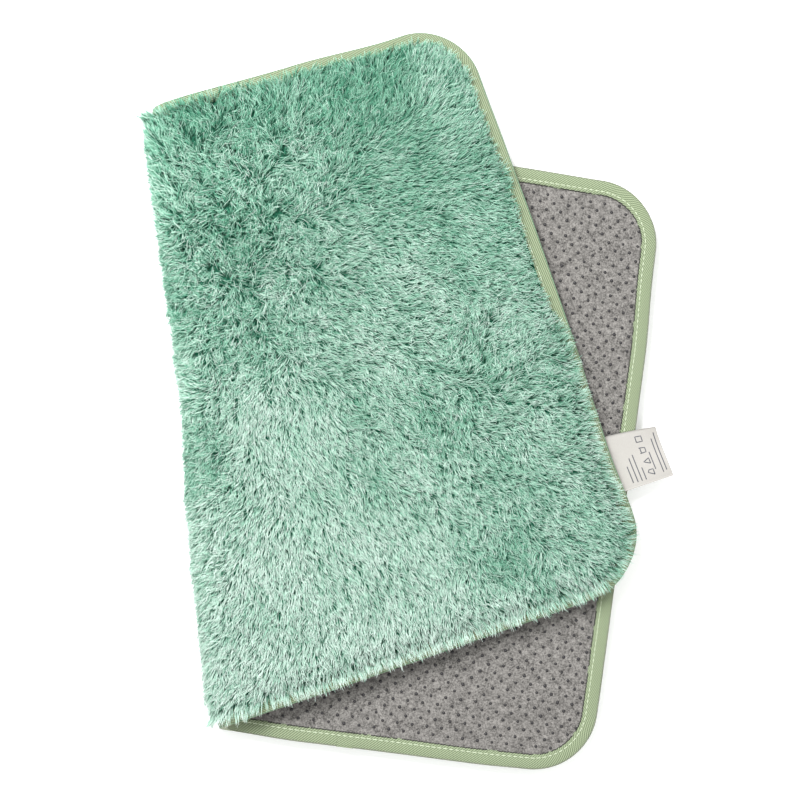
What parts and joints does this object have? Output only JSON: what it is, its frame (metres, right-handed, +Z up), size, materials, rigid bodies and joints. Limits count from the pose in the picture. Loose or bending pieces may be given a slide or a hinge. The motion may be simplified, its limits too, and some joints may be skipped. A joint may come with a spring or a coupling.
{
  "type": "bath mat",
  "caption": "Rectangular plush bath mat with bound edge, felt backing with grip dots and a care label, lying folded over on itself along a skewed fold.",
  "frame": {"origin": "middle of the face that the lower half rests on, at half the mat's width", "axes": "+X along the lower half's length towards its free edge, +Y along its width, +Z up"},
  "size_m": [0.4148, 0.5198, 0.049],
  "materials": {
    "pile": "soft long plush, matt with a light silky sheen",
    "ground_fabric": "knitted base cloth",
    "foam": "open-cell polyurethane foam sheet",
    "felt": "mottled needle-punched felt",
    "grip_rubber": "printed rubber dots, satin",
    "binding_tape": "diagonal twill tape",
    "thread": "polyester sewing thread",
    "label_satin": "white woven satin",
    "label_ink": "grey print"
  },
  "bodies": {
    "lower_half": {"lower_pile": "pile", "lower_ground_fabric": "ground_fabric", "lower_foam_core": "foam", "lower_felt_backing": "felt", "lower_grip_dots": "grip_rubber", "lower_edge_binding": "binding_tape", "lower_stitching": "thread", "binding_overlap": "binding_tape"},
    "fold": {"fold_pile": "pile", "fold_ground_fabric": "ground_fabric", "fold_foam_core": "foam", "fold_felt_backing": "felt", "fold_edge_binding": "binding_tape", "fold_stitching": "thread"},
    "flap": {"flap_pile": "pile", "flap_ground_fabric": "ground_fabric", "flap_foam_core": "foam", "flap_felt_backing": "felt", "flap_grip_dots": "grip_rubber", "flap_edge_binding": "binding_tape", "flap_stitching": "thread", "label_tab": "label_satin", "label_stitches": "thread"},
    "care_label": {"care_label": "label_satin", "label_print": "label_ink"}
  },
  "joints": [
    {"name": "fold_hinge", "type": "hinge", "parent": "lower_half", "child": "fold", "pos_m": [-0.15667, 0.00186, 0.013], "axis": [0.2309, -0.973, 0], "range_deg": [0, 90.7], "deforming": ["fold_pile", "fold_ground_fabric", "fold_foam_core", "fold_felt_backing", "fold_edge_binding", "fold_stitching"]},
    {"name": "flap_hinge", "type": "hinge", "parent": "fold", "child": "flap", "pos_m": [-0.15648, 0.00191, 0.02911], "axis": [0.2309, -0.973, 0], "range_deg": [0, 90.7]},
    {"name": "label_hinge", "type": "hinge", "parent": "flap", "child": "care_label", "pos_m": [0.1439, 0.01071, 0.01874], "axis": [0.4493, -0.8934, -0.0057], "range_deg": [0, 80]}
  ],
  "couplings": [
    {"joint": "flap_hinge", "follows": "fold_hinge", "ratio": 1}
  ]
}
